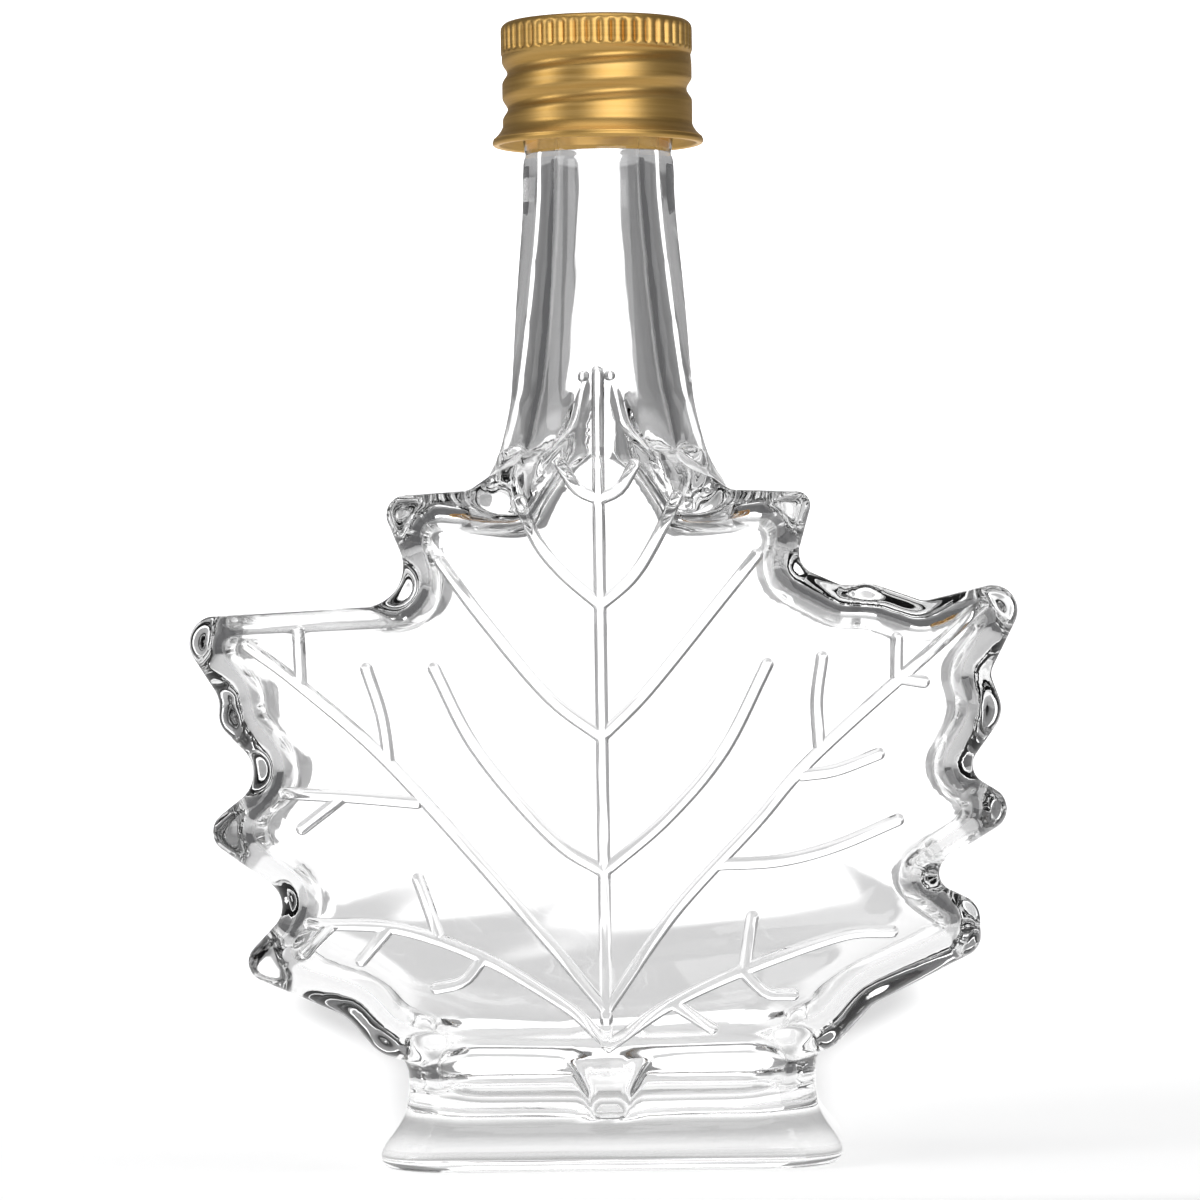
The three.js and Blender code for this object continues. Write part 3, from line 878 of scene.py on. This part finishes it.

# %% [markdown]
# ## The gold
# The cap is anodised aluminium with a satin face. Fine lines round the axis come from a noise that
# is stretched round the cap, and they vary its tint, roughness and surface a little.

# %% Make the gold material
gold, nodes, links, shader = new_material("satin_gold")
shader.inputs["Metallic"].default_value = 1
coordinates = nodes.new("ShaderNodeTexCoord")
stretch = nodes.new("ShaderNodeMapping")
stretch.inputs["Scale"].default_value = (60, 60, 2600)
links.new(coordinates.outputs["Object"], stretch.inputs["Vector"])
brushed = nodes.new("ShaderNodeTexNoise")
brushed.inputs["Scale"].default_value = 1
brushed.inputs["Detail"].default_value = 4
links.new(stretch.outputs["Vector"], brushed.inputs["Vector"])
tint = nodes.new("ShaderNodeValToRGB")
tint.color_ramp.elements[0].position = 0.3
tint.color_ramp.elements[0].color = (0.66, 0.395, 0.11, 1)
tint.color_ramp.elements[1].position = 0.75
tint.color_ramp.elements[1].color = (0.82, 0.535, 0.19, 1)
links.new(brushed.outputs["Fac"], tint.inputs["Fac"])
links.new(tint.outputs["Color"], shader.inputs["Base Color"])
satin = nodes.new("ShaderNodeMapRange")
satin.inputs["To Min"].default_value = 0.38
satin.inputs["To Max"].default_value = 0.50
links.new(brushed.outputs["Fac"], satin.inputs["Value"])
links.new(satin.outputs["Result"], shader.inputs["Roughness"])
bump = nodes.new("ShaderNodeBump")
bump.inputs["Strength"].default_value = 0.25
bump.inputs["Distance"].default_value = 0.00003
links.new(brushed.outputs["Fac"], bump.inputs["Height"])
links.new(bump.outputs["Normal"], shader.inputs["Normal"])
print("gold material ready")

# %% [markdown]
# ## Hand the pieces to the frame
# Each fine piece rides on the model's one body and stands for its CAD node.

# %% Attach the pieces
for piece, material, node, slot in ((bottle, glass, "bottle", "glass"), (cap, gold, "cap", "gold")):
    piece.data.materials.clear()
    piece.data.materials.append(material)
    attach(piece, "root")
    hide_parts(node)

# %% [markdown]
# ## The stage
# A pale sheet runs under the bottle and curves up behind it. Its light is painted light: the
# sheet glows by emission, most in a window that the camera sees behind the bottle, with soft
# edges, and faintly low down beside that window. Glass shows what lies beside it, so the rest
# of the sheet and the room stay darker, and the edges of the bottle read as grey lines. Two
# painted shadows dim the glow: a dark strip round the foot and a soft shade behind the leaf.

# %% Make the floor and the light
SWEEP_HALF_WIDTH = 2600.0
SWEEP_FRONT = -560.0
SWEEP_BACK = 1900.0
SWEEP_RADIUS = 300.0
SWEEP_TOP = 1500.0
VIEW_SLOPE = VIEW_WIDTH / 2 / CAMERA_DISTANCE
GLOW_NEAR = -75.0
GLOW_FAR = 500.0
# FLOOR_GLOW, WALL_GLOW and SIDE_GLOW set the strength of the sheet's painted glow. SHADE sets how much the
# painted shadow behind the bottle dims it.
FLOOR_GLOW = 0.60
WALL_GLOW = 1.25
SIDE_GLOW = 0.25
SHADE = 0.55
sweep_line = [(SWEEP_FRONT, 0.0), (SWEEP_BACK - SWEEP_RADIUS, 0.0)]
for k in range(1, 13):
    angle = k / 12 * math.pi / 2
    sweep_line.append((
        SWEEP_BACK - SWEEP_RADIUS + SWEEP_RADIUS * math.sin(angle),
        SWEEP_RADIUS * (1 - math.cos(angle)),
    ))
sweep_line.append((SWEEP_BACK, SWEEP_TOP))
mesh = bmesh.new()
made = []
for y, z in sweep_line:
    place = Vector((-SWEEP_HALF_WIDTH, y, z)) * MM
    made.append(bmesh.ops.create_vert(mesh, co=place)["vert"][0])
edges = [mesh.edges.new(pair) for pair in zip(made, made[1:])]
grown = bmesh.ops.extrude_edge_only(mesh, edges=edges)["geom"]
verts = [item for item in grown if isinstance(item, bmesh.types.BMVert)]
bmesh.ops.translate(mesh, verts=verts, vec=(2 * SWEEP_HALF_WIDTH * MM, 0, 0))
sweep = finished(mesh, "floor_sweep")
# The sheet's material is a pale diffuse base whose emission holds the painted glow and the painted shadows.
paper, nodes, links, shader = new_material("paper_with_painted_glow")
shader.inputs["Base Color"].default_value = (0.82, 0.82, 0.82, 1)
shader.inputs["Roughness"].default_value = 0.9
shader.inputs["Emission Color"].default_value = (1, 1, 1, 1)
coordinates = nodes.new("ShaderNodeTexCoord")
parts = nodes.new("ShaderNodeSeparateXYZ")
links.new(coordinates.outputs["Object"], parts.inputs["Vector"])


def calculated(operation, first, second=None):
    """A maths node between two values or sockets."""
    node = nodes.new("ShaderNodeMath")
    node.operation = operation
    for index, value in enumerate((first, second)):
        if isinstance(value, float):
            node.inputs[index].default_value = value
        elif value is not None:
            links.new(value, node.inputs[index])
    return node.outputs[0]


def faded(value, dark_at, bright_at, bright=1.0):
    """Goes smoothly from 0 where the value is dark_at to bright where it is bright_at."""
    fade = nodes.new("ShaderNodeMapRange")
    fade.interpolation_type = "SMOOTHSTEP"
    fade.inputs["From Min"].default_value = dark_at
    fade.inputs["From Max"].default_value = bright_at
    fade.inputs["To Max"].default_value = bright
    links.new(value, fade.inputs["Value"])
    return fade.outputs["Result"]


# Painted light: the sheet glows by emission in a soft-edged window along the camera's axis. The glow is brighter
# on the wall than on the floor, with a fainter glow low down beyond the window.
distance = calculated("ADD", parts.outputs["Y"], CAMERA_DISTANCE * MM)
drift = calculated("MULTIPLY", parts.outputs["Y"], math.tan(CAMERA_AZIMUTH))
off_axis = calculated("ADD", calculated("ADD", parts.outputs["X"], drift), -AIM_X * MM)
across = calculated("DIVIDE", calculated("ABSOLUTE", off_axis), distance)
above = calculated("DIVIDE", calculated("SUBTRACT", parts.outputs["Z"], CAMERA_HEIGHT * MM), distance)
floor_part = faded(parts.outputs["Y"], GLOW_NEAR * MM, -40 * MM, FLOOR_GLOW)
wall_part = faded(parts.outputs["Y"], 0.0, GLOW_FAR * MM, WALL_GLOW - FLOOR_GLOW)
window = calculated("ADD", floor_part, wall_part)
window = calculated("MULTIPLY", window, faded(across, VIEW_SLOPE * 1.22, VIEW_SLOPE * 1.03))
window = calculated("MULTIPLY", window, faded(above, 0.38, 0.26))
side_part = faded(parts.outputs["Y"], -200 * MM, 0.0, SIDE_GLOW)
side_part = calculated("MULTIPLY", side_part, faded(above, 0.07, 0.03))
glow = calculated("MAXIMUM", window, side_part)
# Painted shadow: the glow is dimmed in a strip round the foot, as though the foot stood in its own shade.
painted_foot_shadow = faded(calculated("ABSOLUTE", parts.outputs["Y"]), 14 * MM, 2 * MM)
painted_foot_shadow = calculated("MULTIPLY", painted_foot_shadow, faded(calculated("ABSOLUTE", parts.outputs["X"]), 27 * MM, 20 * MM))
glow = calculated("MULTIPLY", glow, calculated("SUBTRACT", 1.0, calculated("MULTIPLY", painted_foot_shadow, 0.6)))
# Painted shadow: a soft shade behind the bottle widens and bends further back. It dims the glow where the sheet
# shows through the foot and the lower leaf, standing in for the bottle's own shadow.
widening = faded(parts.outputs["Y"], 110 * MM, 240 * MM, 0.02)
shade = faded(calculated("SUBTRACT", across, widening), 0.046, 0.034)
bend = calculated("MULTIPLY", calculated("MULTIPLY", across, across), -44.0)
shade = calculated("MULTIPLY", shade, faded(calculated("ADD", parts.outputs["Y"], bend), 330 * MM, 200 * MM))
shade = calculated("MULTIPLY", shade, faded(parts.outputs["Y"], 15 * MM, 25 * MM))
glow = calculated("MULTIPLY", glow, calculated("SUBTRACT", 1.0, calculated("MULTIPLY", shade, SHADE)))
links.new(glow, shader.inputs["Emission Strength"])
sweep.data.materials.append(paper)
# Rays find so large a sheet by themselves, so none are aimed at it. This saves render time.
paper.cycles.emission_sampling = "NONE"


def softbox(name, place, aim_at, size, watts):
    """A large soft rectangular light."""
    data = bpy.data.lights.new(name, "AREA")
    data.shape = "RECTANGLE"
    data.size = size[0] * MM
    data.size_y = size[1] * MM
    data.energy = watts
    lamp = bpy.data.objects.new(name, data)
    bpy.context.scene.collection.objects.link(lamp)
    lamp.location = Vector(place) * MM
    way = (Vector(aim_at) - Vector(place)).to_track_quat("-Z", "Y")
    lamp.rotation_euler = way.to_matrix().to_euler()
    return lamp


softbox("light_left", (-560, -300, 320), (0, 0, 70), (200, 420), 0.9)
front = softbox("light_front", (300, -700, 300), (0, 0, 90), (700, 500), 2.9)
front.data.use_shadow = False
softbox("light_top", (0, -40, 620), (0, 0, 60), (360, 260), 0.5)

world = bpy.data.worlds.new("room")
bpy.context.scene.world = world
world.use_nodes = True
world.node_tree.nodes["Background"].inputs["Color"].default_value = (0.12, 0.12, 0.123, 1)
world.node_tree.nodes["Background"].inputs["Strength"].default_value = 1.0
bpy.context.scene.view_settings.view_transform = "Standard"
bpy.context.scene.cycles.max_bounces = 16
bpy.context.scene.cycles.transmission_bounces = 16
bpy.context.scene.cycles.transparent_max_bounces = 8
bpy.context.scene.cycles.glossy_bounces = 8
bpy.context.scene.cycles.diffuse_bounces = 1
print("stage ready")
